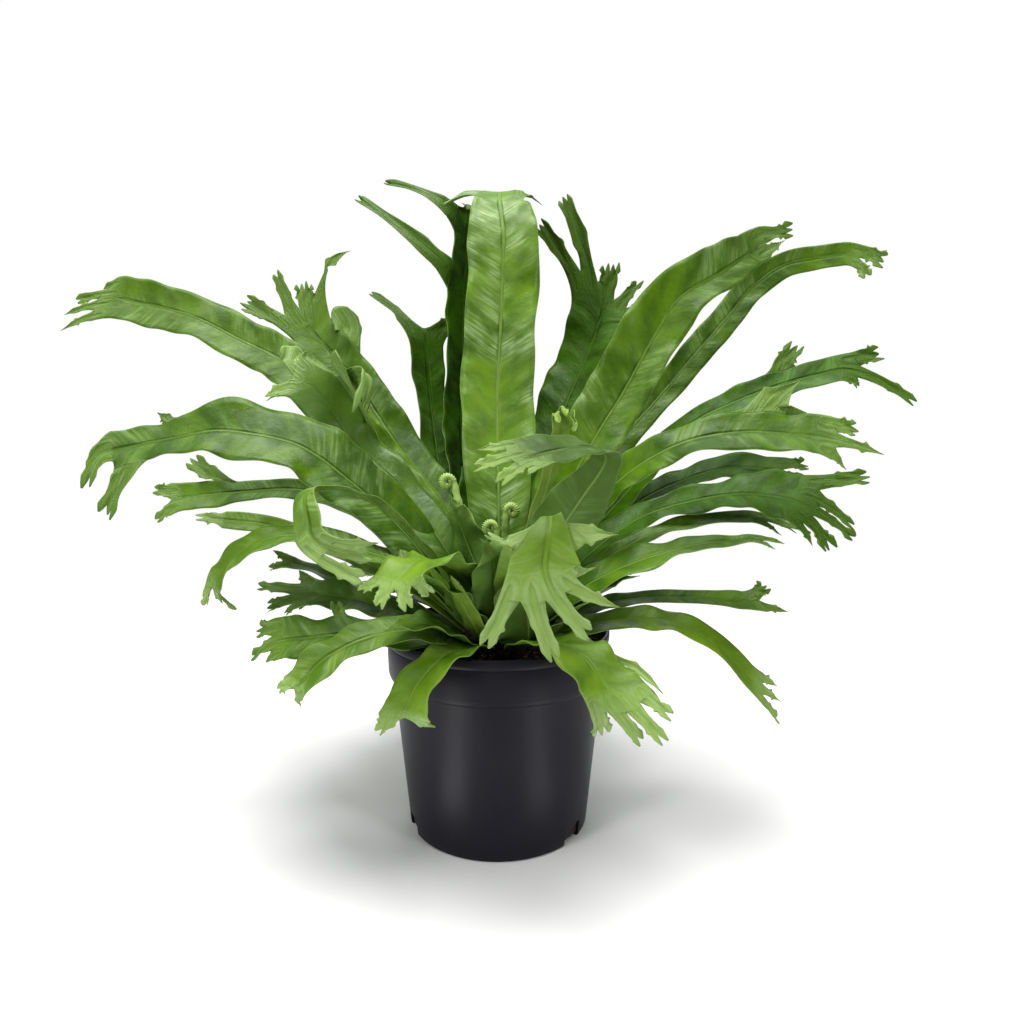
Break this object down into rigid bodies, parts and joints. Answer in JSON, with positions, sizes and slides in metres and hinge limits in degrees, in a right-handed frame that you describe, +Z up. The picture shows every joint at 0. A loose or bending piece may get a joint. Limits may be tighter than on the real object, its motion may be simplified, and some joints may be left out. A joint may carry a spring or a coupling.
{
  "type": "potted fern",
  "caption": "Bird's nest fern with forked, crested strap fronds in a rosette, growing in a round tapered nursery pot",
  "frame": {"origin": "centre of the pot's foot, on the surface that it stands on", "axes": "+Z up along the pot's axis; -Y is the front that faces the viewer; +X is the viewer's right"},
  "size_m": [0.5987, 0.3737, 0.4663],
  "materials": {
    "pot": "satin",
    "soil": "matte",
    "crown": "matte",
    "leaf_deep": "satin",
    "leaf_mid": "satin",
    "leaf_fresh": "satin",
    "leaf_young": "satin"
  },
  "bodies": {
    "root": {"pot": "pot", "soil": "soil", "crown": "crown", "frond_left_arch": "leaf_mid", "frond_left_fan": "leaf_mid", "frond_left_curl": "leaf_fresh", "frond_left_broad": "leaf_mid", "frond_left_fork": "leaf_mid", "frond_left_slim": "leaf_fresh", "frond_left_hook": "leaf_fresh", "frond_front_left_curl": "leaf_fresh", "frond_front_left_low": "leaf_fresh", "frond_left_low_back": "leaf_mid", "frond_left_thin": "leaf_mid", "frond_left_low": "leaf_mid", "frond_left_low_front": "leaf_fresh", "frond_front_left_drape": "leaf_fresh", "frond_front_star": "leaf_fresh", "frond_front_right_broad": "leaf_fresh", "frond_right_low_arch": "leaf_fresh", "frond_right_low_thin": "leaf_mid", "frond_right_mid_low": "leaf_mid", "frond_right_low_mid": "leaf_mid", "frond_right_crest_low": "leaf_mid", "frond_right_curl": "leaf_deep", "frond_right_mid": "leaf_mid", "frond_front_cross": "leaf_fresh", "frond_right_big": "leaf_mid", "frond_right_big_back": "leaf_mid", "frond_right_up_mid": "leaf_mid", "frond_back_right_fork": "leaf_deep", "frond_centre": "leaf_fresh", "frond_centre_left": "leaf_deep", "frond_back_left_fork": "leaf_deep", "frond_young_pale": "leaf_young", "frond_back_1": "leaf_deep", "frond_back_2": "leaf_mid", "frond_back_3": "leaf_deep", "frond_back_4": "leaf_mid", "frond_back_5": "leaf_deep", "frond_back_6": "leaf_mid", "frond_back_7": "leaf_deep", "frond_back_8": "leaf_mid", "crozier_left": "leaf_young", "crozier_front": "leaf_young", "crozier_middle": "leaf_young"}
  },
  "joints": []
}
